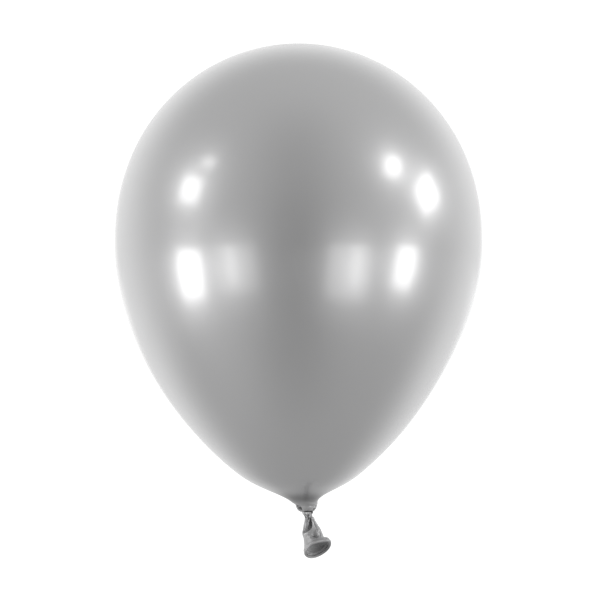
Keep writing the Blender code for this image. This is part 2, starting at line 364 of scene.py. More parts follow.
class StudioSettings(bpy.types.PropertyGroup):
    """The floor, the room's light and the camera"""

    camera_distance: bpy.props.FloatProperty(
        name="Camera Distance",
        description="From the balloon to the camera",
        default=2.6,
        unit="LENGTH",
    )
    view_width: bpy.props.FloatProperty(
        name="View Width",
        description="What the picture's width takes in at the balloon",
        default=0.4579,
        unit="LENGTH",
    )
    floor_drop: bpy.props.FloatProperty(
        name="Floor Drop",
        description="How far the floor lies below the neck",
        default=3.2,
        unit="LENGTH",
    )
    room: bpy.props.FloatProperty(
        name="Room Light",
        description="Brightness of the room in front and at the sides",
        default=0.42,
    )
    backdrop: bpy.props.FloatProperty(
        name="Backdrop Light",
        description="Brightness that the lit backdrop adds behind the balloon",
        default=1.0,
    )


class Value:
    """A number in a node tree. Python's signs on it add Math nodes to that tree."""

    def __init__(self, tree, socket):
        self.tree = tree
        self.socket = socket

    def math(self, operation, *others):
        node = self.tree.nodes.new("ShaderNodeMath")
        node.operation = operation
        for place, item in enumerate((self, *others)):
            if isinstance(item, Value):
                self.tree.links.new(item.socket, node.inputs[place])
            else:
                node.inputs[place].default_value = item
        return Value(self.tree, node.outputs[0])

    def __add__(self, other):
        return self.math("ADD", other)

    def __sub__(self, other):
        return self.math("SUBTRACT", other)

    def __mul__(self, other):
        return self.math("MULTIPLY", other)

    def __truediv__(self, other):
        return self.math("DIVIDE", other)

    def __pow__(self, other):
        return self.math("POWER", other)

    def flipped(self):
        """One less this value."""
        return (self * -1) + 1

    def between(self, start, end):
        """0 up to start, 1 from end, and straight between them, for numbers of either order."""
        return ((self - start) / (end - start)).math("MAXIMUM", 0).math("MINIMUM", 1)

    def eased(self, start, end):
        """0 up to start, 1 from end, and a smooth step between them."""
        share = self.between(start, end)
        return share * share * ((share * -2) + 3)

    def bell(self, middle, width):
        """1 at the middle and less to both sides."""
        return (((self - middle) / width) ** 2 * -1).math("EXPONENT")

    def mixed(self, low, high):
        """From low at 0 to high at 1. Low and high are values or numbers."""
        return (self.flipped() * low) + (self * high)


def split(tree, vector):
    """The three numbers of a vector, as values."""
    parts = tree.nodes.new("ShaderNodeSeparateXYZ")
    tree.links.new(vector, parts.inputs[0])
    return [Value(tree, socket) for socket in parts.outputs]


def noise_value(tree, vector, scale, detail, roughness=0.5):
    """Noise from about 0 to 1, on a vector or, where that is None, on the point's own place."""
    node = tree.nodes.new("ShaderNodeTexNoise")
    node.inputs["Scale"].default_value = scale
    node.inputs["Detail"].default_value = detail
    node.inputs["Roughness"].default_value = roughness
    if vector is not None:
        tree.links.new(vector, node.inputs["Vector"])
    return Value(tree, node.outputs["Fac"])


def paint(tree, colours, socket):
    """Joins values for red, green and blue, and links them to a colour socket."""
    joined = tree.nodes.new("ShaderNodeCombineColor")
    for colour, entry in zip(colours, joined.inputs):
        tree.links.new(colour.socket, entry)
    tree.links.new(joined.outputs[0], socket)


def new_tree(name, inputs):
    """A Geometry Nodes tree, its named inputs as values, and its group input and output nodes."""
    tree = bpy.data.node_groups.new(name, "GeometryNodeTree")
    tree.interface.new_socket("Geometry", in_out="INPUT", socket_type="NodeSocketGeometry")
    for label, kind in inputs:
        tree.interface.new_socket(label, in_out="INPUT", socket_type=kind)
    tree.interface.new_socket("Geometry", in_out="OUTPUT", socket_type="NodeSocketGeometry")
    entry = tree.nodes.new("NodeGroupInput")
    leave = tree.nodes.new("NodeGroupOutput")
    values = {label: Value(tree, entry.outputs[label]) for label, kind in inputs}
    return tree, values, entry, leave


def finish_tree(tree, geometry, material, leave):
    """Shades the geometry smooth, realizes it and gives it the material."""
    smooth = tree.nodes.new("GeometryNodeSetShadeSmooth")
    real = tree.nodes.new("GeometryNodeRealizeInstances")
    painted = tree.nodes.new("GeometryNodeSetMaterial")
    tree.links.new(geometry, smooth.inputs["Geometry"])
    tree.links.new(smooth.outputs[0], real.inputs[0])
    tree.links.new(real.outputs[0], painted.inputs["Geometry"])
    tree.links.new(material.socket, painted.inputs["Material"])
    tree.links.new(painted.outputs[0], leave.inputs[0])


def run_tree(tree, name, settings, source=None):
    """Runs a Geometry Nodes tree once and returns its result as a plain mesh object."""
    if source is None:
        source = bpy.data.objects.new(name + " source", bpy.data.meshes.new(name + " source"))
    bpy.context.scene.collection.objects.link(source)
    modifier = source.modifiers.new(name, "NODES")
    modifier.node_group = tree
    for item in tree.interface.items_tree:
        if item.in_out == "INPUT" and item.name in settings:
            modifier[item.identifier] = settings[item.name]
    graph = bpy.context.evaluated_depsgraph_get()
    mesh = bpy.data.meshes.new_from_object(source.evaluated_get(graph))
    mesh.name = name
    source.modifiers.clear()
    bpy.data.objects.remove(source)
    piece = bpy.data.objects.new(name, mesh)
    bpy.context.scene.collection.objects.link(piece)
    return piece


def bezier_value(start, first, second, end, share):
    """A cubic Bezier arc's number at a share that is a value in a tree."""
    rest = share.flipped()
    return (
        (rest**3 * start)
        + (rest * rest * share * 3 * first)
        + (rest * share * share * 3 * second)
        + (share**3 * end)
    )


def skin_profile(size, down):
    """The skin's radius and height, as values, at a share of the way from its crown to its edge."""
    half_width = size["Width"] * 0.5
    cap_end, lower_end, arc_end = SKIN_SHARES
    # Crown: a rounded cap above the widest level
    crown_share = (down.between(0, cap_end) * (math.pi / 2)).math("COSINE").math("MAXIMUM", 0)
    cap = (crown_share ** CROWN_CURVE[0]).flipped().math("MAXIMUM", 0)
    crown_radius = cap ** (1 / CROWN_CURVE[1]) * half_width
    crown_height = size["Widest Level"] + size["Crown Rise"] * crown_share
    # Lower side: a cone that swells into the cap, down to the shoulder
    last = ((size["Widest Level"] - SHOULDER * MM) / size["Tip Drop"]).math("ARCSINE")
    drop_share = (down.between(cap_end, lower_end) * last).math("SINE")
    lower_radius = (drop_share ** LOWER_CURVE[0]).flipped() ** LOWER_CURVE[1] * half_width
    lower_height = size["Widest Level"] - size["Tip Drop"] * drop_share
    # Neck: one arc in to the knot, then tucked under the cuff
    neck = down.between(lower_end, arc_end)
    tuck = down.between(arc_end, 1)
    radii, heights = zip(*NECK_ARC)
    neck_radius = bezier_value(lower_radius, *(number * MM for number in radii), neck)
    neck_radius = neck_radius - tuck * (TUCK[0] * MM)
    neck_height = bezier_value(lower_height, *(number * MM for number in heights), neck)
    neck_height = neck_height - tuck * (TUCK[1] * MM)
    in_lower = down.math("GREATER_THAN", cap_end)
    in_neck = down.math("GREATER_THAN", lower_end)
    radius = in_neck.mixed(in_lower.mixed(crown_radius, lower_radius), neck_radius)
    height = in_neck.mixed(in_lower.mixed(crown_height, lower_height), neck_height)
    return radius, height


def skin_tree():
    """The inflated skin: a grid is spun into a teardrop whose lower end draws in to the knot."""
    lengths = ("Width", "Widest Level", "Crown Rise", "Tip Drop", "Side Shift")
    tree, size, entry, leave = new_tree(
        "inflated skin",
        (
            *((label, "NodeSocketFloat") for label in lengths),
            ("Sides", "NodeSocketInt"),
            ("Rows", "NodeSocketInt"),
            ("Material", "NodeSocketMaterial"),
        ),
    )
    grid = tree.nodes.new("GeometryNodeMeshGrid")
    grid.inputs["Size X"].default_value = 1
    grid.inputs["Size Y"].default_value = 1
    tree.links.new((size["Sides"] + 1).socket, grid.inputs["Vertices X"])
    tree.links.new((size["Rows"] + 1).socket, grid.inputs["Vertices Y"])
    place = tree.nodes.new("GeometryNodeInputPosition")
    along, up = split(tree, place.outputs[0])[:2]
    turn = (along + 0.5) * (2 * math.pi)
    radius, height = skin_profile(size, (up * -1) + 0.5)

    # Shallow pleats where the skin is drawn together above the knot
    pleat_room = height.eased(34 * MM, 4 * MM)
    pleats = ((turn * 11) + (height * 60)).math("SINE") + ((turn * 7) + 1.3).math("SINE") * 0.8
    radius = radius * ((pleats * pleat_room * 0.0018) + 1)

    # Above the knot it leans to one side, and bows a little further at a third of its height
    above = ((height + SHIFT_START * MM) / (-SHIFT_REACH * MM)).math("EXPONENT")
    shift = above.flipped() * (size["Side Shift"] * -1)
    shift = shift - height.bell(95 * MM, 45 * MM) * (1.2 * MM)
    where = tree.nodes.new("ShaderNodeCombineXYZ")
    across = turn.math("COSINE") * radius * FRONT_STRETCH + shift
    for number, socket in zip((across, turn.math("SINE") * radius, height), where.inputs):
        tree.links.new(number.socket, socket)
    moved = tree.nodes.new("GeometryNodeSetPosition")
    tree.links.new(grid.outputs["Mesh"], moved.inputs["Geometry"])
    tree.links.new(where.outputs[0], moved.inputs["Position"])
    merged = tree.nodes.new("GeometryNodeMergeByDistance")
    merged.inputs["Distance"].default_value = 0.004 * MM
    tree.links.new(moved.outputs[0], merged.inputs["Geometry"])
    finish_tree(tree, merged.outputs[0], size["Material"], leave)
    return tree


def strand_tree():
    """Rolled latex: a round section swept along a curve, as thick as the curve says."""
    tree, size, entry, leave = new_tree(
        "rolled strand",
        (
            ("Half Thickness", "NodeSocketFloat"),
            ("Steps", "NodeSocketInt"),
            ("Sides", "NodeSocketInt"),
            ("Material", "NodeSocketMaterial"),
        ),
    )
    spread = tree.nodes.new("GeometryNodeResampleCurve")
    tree.links.new(entry.outputs["Geometry"], spread.inputs["Curve"])
    tree.links.new(size["Steps"].socket, spread.inputs["Count"])
    wobble = (noise_value(tree, None, 260, 2) - 0.5) * 0.16
    circle = tree.nodes.new("GeometryNodeCurvePrimitiveCircle")
    circle.inputs["Radius"].default_value = 1
    tree.links.new(size["Sides"].socket, circle.inputs["Resolution"])
    radius = tree.nodes.new("GeometryNodeInputRadius")
    swept = tree.nodes.new("GeometryNodeCurveToMesh")
    swept.inputs["Fill Caps"].default_value = True
    tree.links.new(spread.outputs[0], swept.inputs["Curve"])
    tree.links.new(circle.outputs[0], swept.inputs["Profile Curve"])
    scale = Value(tree, radius.outputs[0]) * size["Half Thickness"] * (wobble + 1)
    tree.links.new(scale.socket, swept.inputs["Scale"])
    finish_tree(tree, swept.outputs[0], size["Material"], leave)
    return tree


def path_object(name, points, thickness, closed):
    """A smooth curve object through the points, in mm, each with its own thickness."""
    curve = bpy.data.curves.new(name, "CURVE")
    curve.dimensions = "3D"
    curve.resolution_u = 16
    spline = curve.splines.new("NURBS")
    spline.points.add(len(points) - 1)
    for point, place, radius in zip(spline.points, points, thickness):
        point.co = (*(coordinate * MM for coordinate in place), 1)
        point.radius = radius
    spline.order_u = 4
    spline.use_cyclic_u = closed
    spline.use_endpoint_u = not closed
    return bpy.data.objects.new(name, curve)


def smooth_table(rows, at):
    """Numbers between the rows of a table by smooth curves. The first column is the place."""
    table = np.array(rows, float)
    places = table[:, 0]
    slopes = np.gradient(table[:, 1:], places, axis=0)
    spot = np.clip(np.searchsorted(places, at) - 1, 0, len(places) - 2)
    span = places[spot + 1] - places[spot]
    share = ((at - places[spot]) / span)[:, None]
    low = table[spot, 1:]
    high = table[spot + 1, 1:]
    reach = span[:, None]
    return (
        (2 * share**3 - 3 * share**2 + 1) * low
        + (share**3 - 2 * share**2 + share) * reach * slopes[spot]
        + (3 * share**2 - 2 * share**3) * high
        + (share**3 - share**2) * reach * slopes[spot + 1]
    )


def eased(number, start, end):
    """A smooth step from 0 at start to 1 at end, for arrays."""
    share = np.clip((number - start) / (end - start), 0, 1)
    return share * share * (3 - 2 * share)


def bell(number, middle, width):
    """1 at the middle and less to both sides, for arrays."""
    return np.exp(-(((number - middle) / width) ** 2))


def round_angles(count):
    """Angles spread evenly round a ring."""
    return 2 * math.pi * np.arange(count) / count


def fold_height(across, up, fold, spread):
    """How far one fold moves the surface outwards at each place, drawn on the front's plane in mm.

    Its widths are multiplied by spread.
    """
    route, left_height, left_width, right_height, right_width = fold
    route = np.array(route, float)
    steps = route[1:] - route[:-1]
    lengths = np.hypot(steps[:, 0], steps[:, 1])
    starts = np.concatenate(([0], np.cumsum(lengths)))
    nearest = np.full(across.shape, 1e9)
    side = np.zeros(across.shape)
    travel = np.zeros(across.shape)
    for corner, step, length, start in zip(route, steps, lengths, starts):
        share = ((across - corner[0]) * step[0] + (up - corner[1]) * step[1]) / length**2
        share = np.clip(share, 0, 1)
        off_x = across - corner[0] - share * step[0]
        off_z = up - corner[1] - share * step[1]
        distance = np.hypot(off_x, off_z)
        closer = distance < nearest
        nearest = np.where(closer, distance, nearest)
        side = np.where(closer, step[0] * off_z - step[1] * off_x, side)
        travel = np.where(closer, start + share * length, travel)
    # Its ends fade, over a longer way where it is wide
    whole = starts[-1]
    reach = min(max(0.18 * whole, left_width, right_width), 0.5 * whole)
    fade = eased(travel, 0, reach) * eased(travel, whole, whole - reach)
    left = left_height * bell(nearest, 0, left_width * spread)
    right = right_height * bell(nearest, 0, right_width * spread)
    edge = eased(np.sign(side) * nearest, -0.16, 0.16)
    return fade * (edge * left + (1 - edge) * right)


def fold_sum(points, folds, facing, spread=1):
    """The heights of all folds together, only where the surface faces their way."""
    total = np.zeros(points.shape[:-1])
    for fold in folds:
        total += fold_height(points[..., 0], points[..., 2], fold, spread)
    return total * facing


def wrinkles(points, size, seed, count=14):
    """Small uneven waves, from a fixed set of random directions, about -1 to 1."""
    chance = np.random.default_rng(seed)
    total = np.zeros(points.shape[:-1])
    for number in range(count):
        direction = chance.normal(size=3)
        direction *= (0.6 + 0.8 * chance.random()) / (size * np.linalg.norm(direction))
        total += np.sin(points @ direction * 2 * math.pi + chance.random() * 6.28)
    return total / math.sqrt(count)


def ring_mesh(name, rings, material, start=None, end=None, shade=None):
    """A tube of faces through rings of points in mm, closed at an end where a point is given."""
    rows, columns = rings.shape[:2]
    points = [tuple(point) for point in rings.reshape(-1, 3) * MM]
    faces = []
    for row in range(rows - 1):
        for column in range(columns):
            after = (column + 1) % columns
            upper = row * columns
            lower = upper + columns
            faces.append((upper + column, upper + after, lower + after, lower + column))
    tones = [] if shade is None else list(shade.reshape(-1))
    for tip, row in ((start, 0), (end, rows - 1)):
        if tip is None:
            continue
        points.append(tuple(np.array(tip) * MM))
        if tones:
            tones.append(tones[row * columns])
        for column in range(columns):
            first = row * columns + column
            second = row * columns + (column + 1) % columns
            corners = (len(points) - 1, second, first) if row == 0 else (len(points) - 1, first, second)
            faces.append(corners)
    mesh = bpy.data.meshes.new(name)
    mesh.from_pydata(points, [], faces)
    mesh.shade_smooth()
    mesh.materials.append(material)
    if tones:
        # Painted shade, and painted light where it is below 0, kept for the material to read
        layer = mesh.attributes.new("crease", "FLOAT", "POINT")
        layer.data.foreach_set("value", np.array(tones, np.float32))
    piece = bpy.data.objects.new(name, mesh)
    bpy.context.scene.collection.objects.link(piece)
    return piece


def flip_inward_faces(piece, outside):
    """Turns all faces round if the one nearest to a point outside looks away from that point."""
    mesh = piece.data
    probe = Vector(outside) * MM
    nearest = min(mesh.polygons, key=lambda face: (face.center - probe).length)
    if nearest.normal.dot(probe - nearest.center) < 0:
        mesh.flip_normals()


def new_material(name):
    """A material, its tree, its shader and the socket of its Object coordinates."""
    material = bpy.data.materials.new(name)
    material.use_nodes = True
    tree = material.node_tree
    place = tree.nodes.new("ShaderNodeTexCoord").outputs["Object"]
    return material, tree, tree.nodes["Principled BSDF"], place


def latex_material(name, kind):
    """Metallic latex. kind holds its colours and gloss, for stretched skin or for slack latex."""
    material, tree, shader, place = new_material(name)
    height = split(tree, place)[2]
    # Cloudy pigment and fine flakes, denser at the crown; painted shade above the knot and in creases
    clouds = (noise_value(tree, place, 14, 3) - 0.5) * kind["clouds"]
    flakes = (noise_value(tree, place, 2600, 2, 0.7) - 0.5) * kind["grain"]
    crown = height.eased(343 * MM, 349 * MM) * kind["crown"]
    neck_shade = height.bell(3 * MM, 4.2 * MM)
    # An attribute of the piece: painted shade, and painted light where it is below 0
    crease = tree.nodes.new("ShaderNodeAttribute")
    crease.attribute_name = "crease"
    shade_paint = Value(tree, crease.outputs["Fac"])
    tone = (clouds + flakes + 1) * ((crown * -0.35) + 1)
    tone = tone * ((neck_shade * -kind["neck"]) + 1) * ((shade_paint * -kind["crease"]) + 1)
    slackness = height.eased(kind["slack_from"], kind["slack_to"])
    colours = [slackness.mixed(*pair) * tone for pair in zip(kind["stretched"], kind["slack"])]
    paint(tree, colours, shader.inputs["Base Color"])
    shader.inputs["Metallic"].default_value = kind["metallic"]
    gloss = slackness.mixed(kind["roughness"], kind["slack_roughness"])
    gloss = gloss + (noise_value(tree, place, 40, 4) - 0.5) * 0.06
    gloss = gloss + (noise_value(tree, place, 900, 3) - 0.5) * kind["grain"] * 0.5
    tree.links.new(gloss.socket, shader.inputs["Roughness"])
    coat = slackness.mixed(kind["coat"], kind["slack_coat"])
    tree.links.new(coat.socket, shader.inputs["Coat Weight"])
    shader.inputs["Coat Roughness"].default_value = kind["coat_roughness"]
    shader.inputs["Coat IOR"].default_value = kind["coat_ior"]
    # Faint orange peel and grain
    peel = noise_value(tree, place, 120, 3) * kind["peel"]
    relief = peel + noise_value(tree, place, 1500, 3) * kind["tooth"]
    bump = tree.nodes.new("ShaderNodeBump")
    bump.inputs["Strength"].default_value = 1
    bump.inputs["Distance"].default_value = 1
    tree.links.new(relief.socket, bump.inputs["Height"])
    tree.links.new(bump.outputs[0], shader.inputs["Normal"])
    return material


def skin_finish():
    """The glossy silver of the stretched skin, turning satin towards the knot."""
    finish = bpy.context.scene.balloon_finish
    return latex_material(
        "stretched silver latex",
        {
            "stretched": finish.stretched,
            "slack": finish.slack,
            "slack_from": 20 * MM,
            "slack_to": -3 * MM,
            "crown": 1,
            # Strengths of the painted shade on the neck above the knot and in creases
            "neck": 0.46,
            "crease": 0.6,
            "clouds": 0.04,
            "grain": 0.10,
            "metallic": 0.75,
            "roughness": 0.37,
            "slack_roughness": 0.46,
            "coat": 1.0,
            "slack_coat": 0.35,
            "coat_roughness": 0.18,
            "coat_ior": 2.0,
            "peel": 0.00003,
            "tooth": 0.000002,
        },
    )


def slack_finish(name="slack silver latex", colour=None):
    """The satin silver of the slack neck and tail."""
    finish = bpy.context.scene.balloon_finish
    colour = colour or finish.slack
    return latex_material(
        name,
        {
            "stretched": finish.slack,
            "slack": colour,
            "slack_from": 0,
            "slack_to": -4 * MM,
            "crown": 0,
            "neck": 0,
            # Strength of the painted shade and light in creases
            "crease": 0.58,
            "clouds": 0.3,
            "grain": 0.22,
            "metallic": 0.7,
            "roughness": 0.5,
            "slack_roughness": 0.5,
            "coat": 0.35,
            "slack_coat": 0.25,
            "coat_roughness": 0.22,
            "coat_ior": 1.6,
            "peel": 0.00012,
            "tooth": 0.000012,
        },
    )


def neck_arc(share):
    """(radius, height) in mm on the skin's last arc, as its tree draws it, at a share of the arc."""
    sizes = bpy.context.scene.balloon_skin
    level = (sizes.equator_height / MM - SHOULDER) / (sizes.tip_drop / MM)
    shoulder = sizes.width / MM / 2 * (1 - level**LOWER_CURVE[0]) ** LOWER_CURVE[1]
    rest = 1 - share
    weights = (rest**3, 3 * rest**2 * share, 3 * rest * share**2, share**3)
    corners = ((shoulder, SHOULDER), *NECK_ARC)
    return tuple(sum(w * corner[axis] for w, corner in zip(weights, corners)) for axis in (0, 1))


def skin_shift(height):
    """How far the skin's middle lies from the neck's along X, in mm, near the neck."""
    sizes = bpy.context.scene.balloon_skin
    return -sizes.side_shift / MM * (1 - math.exp(-(height + SHIFT_START) / SHIFT_REACH))


def tail_frame(share):
    """Middle, wide direction and deep direction of the tail's sections at an array of shares."""
    share = share[:, None]
    rest = 1 - share
    middle = rest**2 * PINCH + 2 * share * rest * TAIL_BEND + share**2 * MOUTH
    along = rest * (TAIL_BEND - PINCH) + share * (MOUTH - TAIL_BEND)
    along /= np.linalg.norm(along, axis=1)[:, None]
    turned = np.clip(share, 0, 1)
    along = along * (1 - turned) + MOUTH_NORMAL * turned
    level = eased(share, 0.12, -0.02)
    along = along * (1 - level) + np.array((0, 0, -1.0)) * level
    along /= np.linalg.norm(along, axis=1)[:, None]
    wide = np.array((1.0, 0, 0)) * (1 - turned) + MOUTH_WIDE * turned
    wide -= (wide * along).sum(1)[:, None] * along
    wide /= np.linalg.norm(wide, axis=1)[:, None]
    return middle, wide, np.cross(along, wide)


def lobe(angle, amount, place, width):
    """An amount at a place round the mouth, and less away from it, at angles in radians."""
    off = np.remainder(np.degrees(angle) - place + 180, 360) - 180
    return amount * bell(off, 0, width)


def lobes(angle, rows):
    """Several lobes together."""
    return sum(lobe(angle, *row) for row in rows)


def rim_share(angle):
    """The rim's thickness at angles round the mouth, as a share of its usual one."""
    swell = bpy.context.scene.balloon_tail.rim_swell
    return 1 + swell * np.cos(angle - math.radians(RIM_THICK_PLACE)) - lobe(angle, *RIM_THIN)


def mouth_ring(angle, lap):
    """Half width and half depth of the rim's middle line at angles round the mouth, plus a lap."""
    depth = np.where(np.sin(angle) < 0, *MOUTH_DEPTHS) + lobes(angle, MOUTH_CORNERS)
    rise = lobe(angle, LIP_RISE, *LIP_PLACE) + lap
    return MOUTH_REACH + rise, depth + rise


def tail_sections(shares, angle, inset):
    """Points of the tail's plain sections, the ways outwards, and how much each ring is the rim's."""
    middle, wide, deep = tail_frame(shares)
    size = smooth_table(TAIL_SECTIONS, shares)
    place = shares[:, None]
    edge = eased(place, 0.89, 0.972)
    middle = middle + wide * size[:, 2:3] * (1 - edge)
    # Near the mouth it widens on to the rim, and its front is less deep than its back
    rim = bpy.context.scene.balloon_tail.rim / MM
    ring_width, ring_depth = mouth_ring(angle, 0.68 * rim * rim_share(angle) - inset)
    half_width = (size[:, 0:1] - inset) * (1 - edge) + ring_width * edge
    flatter = 1 - MOUTH_DEPTHS[1] / MOUTH_DEPTHS[0]
    half_depth = size[:, 1:2] - inset
    half_depth = half_depth * (1 - flatter * eased(place, 0.7, 0.95) * (np.sin(angle) > 0))
    half_depth = half_depth * (1 - edge) + ring_depth * edge
    spoke = wide[:, None, :] * (half_width * np.cos(angle))[..., None]
    spoke = spoke + deep[:, None, :] * (half_depth * np.sin(angle))[..., None]
    return middle[:, None, :] + spoke, spoke / np.linalg.norm(spoke, axis=2)[..., None], edge


def tail_surface(shares, inset):
    """Points of the tail's wall, and the painted shade on each, below 0 where light is painted."""
    angle = round_angles(TAIL_SIDES)
    points, outward, edge = tail_sections(shares, angle, inset)
    place = shares[:, None]
    front = eased(np.sin(angle), -0.05, 0.4)[None, :]
    back = eased(-np.sin(angle), -0.05, 0.4)[None, :]
    ahead = fold_sum(points, FRONT_FOLDS, front)
    behind = fold_sum(points, BACK_FOLDS, back)
    # Painted shade reaches further from a crease than its slopes do
    shade = fold_sum(points, FRONT_FOLDS, front, 1.7) + fold_sum(points, BACK_FOLDS, back, 1.3)
    height = lobe(angle, LIP_SWELL, *LIP_PLACE)[None, :] * eased(place, 0.72, 0.9)
    height = height + FRONT_SWELL * eased(np.sin(angle), -0.1, 0.5)[None, :] * eased(place, 0.84, 0.955)
    # Gathers run down from the knot and spread out, and below them the wall is faintly uneven
    gathers = np.sin(angle * 11 + 2.4 + 1.3 * np.sin(angle * 2))[None, :]
    height = height + gathers * 0.28 * eased(place, 0.2, 0.02)
    height = height + 0.12 * wrinkles(points, 7.0, 5) * eased(place, 0, 0.2)
    height = height + 0.02 * wrinkles(points, 2.6, 6) * eased(place, 0, 0.2)
    points = points + outward * (height * (1 - edge))[..., None]
    points[..., 1] += behind - ahead
    crease = np.clip(-shade / 2.2, 0, 1)
    # The gathers get painted light where they swell, and painted deep shade where they go up into the
    # knot
    crease = crease - 0.35 * bell(place, -0.04, 0.025)
    knot_shade = eased(place + 0.02 * (1 - front), -0.06, -0.08)
    return points, crease + (1.5 - crease) * knot_shade


def room_glow(studio, side, away, up=None, fall=None):
    """The room's brightness in a direction: dim in front, with a lit backdrop behind.

    The world gives how far the direction points up, and the floor how far it falls.
    """
    gap = side.bell(0, 0.38) * away.eased(0.1, -0.7)
    if up is None:
        # On the floor this is painted light that it gives off, with painted shade straight below the
        # balloon
        low = fall.eased(0.3, 0.7)
        reach = away - side.bell(0, 0.46) * fall.between(0.1, 1) * 0.81
        reach = reach + side * side * low.flipped() * 0.14
        flank = (side * side).bell(0.42, 0.25)
        reach = reach + flank * low.flipped() * (side * 0.04 + 0.08)
        gap = gap * (fall * (fall * -0.36 - 0.45) + 1.24)
        lift = side.bell(-0.7, 0.35) * fall * 0.35 + 1
        lift = lift * (low * away.eased(-0.4, 0.3) * (side * 0.08 - 0.12) + 1)
    else:
        above = up.math("MAXIMUM", 0)
        reach = away - above * (side.bell(0, 0.5) * 0.08 + 0.42) + side * side * 0.05
        gap = gap * (above * -0.55 + 1.05)
        lift = above * (above * -0.36 + 0.78) + side * above * 0.09 + 0.93
        lift = lift + side.eased(-0.6, -0.95) * 0.15 * above.flipped()
    backdrop = reach.eased(0.0, 0.85) * 0.52 + reach.eased(0.9, 0.98) * 0.30
    front = (gap * -0.50 + 1) * studio.room * lift
    return front + backdrop * studio.backdrop


def link_piece(piece, outside, body, slot, *nodes):
    """Faces outwards, rides on its CAD body and stands for its CAD nodes, if it has any."""
    flip_inward_faces(piece, outside)
    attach(piece, body)
    if nodes:
        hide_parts(*nodes)


class BALLOON_OT_skin(bpy.types.Operator):
    """Make the inflated skin from the crown to the knot"""

    bl_idname = "balloon.skin"
    bl_label = "Inflated Skin"

    def execute(self, context):
        sizes = context.scene.balloon_skin
        material = skin_finish()
        skin = run_tree(
            skin_tree(),
            "inflated_skin",
            {
                "Width": sizes.width,
                "Widest Level": sizes.equator_height,
                "Crown Rise": sizes.crown_rise,
                "Tip Drop": sizes.tip_drop,
                "Side Shift": sizes.side_shift,
                "Sides": sizes.sides,
                "Rows": sizes.rows,
                "Material": material,
            },
        )
        link_piece(skin, (300, 0, 195), "balloon", "stretched_latex", "envelope")
        return {"FINISHED"}


class BALLOON_OT_knot(bpy.types.Operator):
    """Make the knot's cuff, the gathered neck inside it and the strand across it"""

    bl_idname = "balloon.knot"
    bl_label = "Knot"

    def execute(self, context):
        sizes = context.scene.balloon_knot
        angle = round_angles(sizes.sides)
        spoke = np.stack((np.cos(angle), np.sin(angle), 0 * angle), axis=1)
        self.make_cuff(angle, spoke)
        self.make_neck(angle, spoke, sizes.gathers)
        self.make_strand("knot_strand", STRAND_PATH, None, "knot_crossing")
        # Its end below the cuff is painted dark, as painted shade
        self.make_strand("strand_end", STRAND_END, context.scene.balloon_finish.shade_paint)
        return {"FINISHED"}

    def make_cuff(self, angle, spoke):
        """The turn of the neck round itself. Its top comes out from just inside the skin."""
        rows = []
        for share, inside in CUFF_START:
            radius, height = neck_arc(share)
            rows.append((len(rows), radius - inside, height, skin_shift(height)))
        rows += [(len(rows) + number, *row) for number, row in enumerate(CUFF_OUTLINE)]
        outline = smooth_table(rows, np.linspace(0, len(rows) - 1, CUFF_RINGS))
        points = spoke[None] * outline[:, 0, None, None]
        points[..., 0] += outline[:, 2:3]
        points[..., 2] += outline[:, 1:2]
        # Its lower lip is uneven, and hangs lower at the back
        behind = np.maximum(np.sin(angle), 0)
        drop = 0.35 * eased(np.sin(angle), -0.4, 0.1) + (0.8 + 0.2 * np.sin(angle * 5 + 1)) * behind
        points[..., 2] -= drop[None, :] * eased(outline[:, 1:2], -5.0, -7.4)
        room = eased(outline[:, 1:2], 0, -2.0)
        height = fold_sum(points, CUFF_FRONT_FOLDS, eased(-np.sin(angle), 0.0, 0.4)[None, :] * room)
        height += fold_sum(points, CUFF_BACK_FOLDS, eased(np.sin(angle), 0.0, 0.4)[None, :] * room)
        height = height + 0.10 * wrinkles(points, 5.0, 11) * eased(outline[:, 1:2], -2, -5)
        # It is drawn in a little on the left
        left = eased(-np.cos(angle), 0.55, 0.95)[None, :] * eased(outline[:, 1:2], -0.9, -1.9)
        height = height - 0.25 * left
        points = points + spoke[None] * height[..., None]
        # Its dents get painted shade
        cuff = ring_mesh("knot_cuff", points, skin_finish(), shade=np.clip(-height / 1.5, 0, 1))
        link_piece(cuff, (30, 0, -3), "balloon", "slack_latex", "knot_wrap")

    def make_neck(self, angle, spoke, gathers):
        """The neck inside the knot: pleated, wide above the hole and narrow through it."""
        stem = smooth_table(NECK_COLUMN, np.linspace(0, len(NECK_COLUMN) - 1, NECK_RINGS))
        pleat = 1 - 0.16 * np.abs(np.sin(angle * gathers / 2))
        core = spoke[None] * (stem[:, 0:1] * pleat[None, :])[..., None]
        core[..., 2] += stem[:, 1:2]
        core[..., 0] += 0.9 * eased(stem[:, 1:2], 0, -4)
        finish = slack_finish("gathered neck latex")
        neck = ring_mesh("neck_gathers", core, finish, (0, 0, 3.6), (0.9, 0, -7.0))
        link_piece(neck, (30, 0, -1), "balloon", "slack_latex", "neck_stem")

    def make_strand(self, name, route, colour, *nodes):
        """Rolled latex along a route, in a colour or in the slack latex's own."""
        places, thickness = zip(*route)
        strand = run_tree(
            strand_tree(),
            name,
            {
                "Half Thickness": bpy.context.scene.balloon_knot.strand,
                "Steps": 90,
                "Sides": 28,
                "Material": slack_finish(name + " latex", colour),
            },
            path_object(name + " path", places, thickness, False),
        )
        across, deep, height = places[3]
        link_piece(strand, (across * 5, deep * 5, height), "balloon", "slack_latex", *nodes)


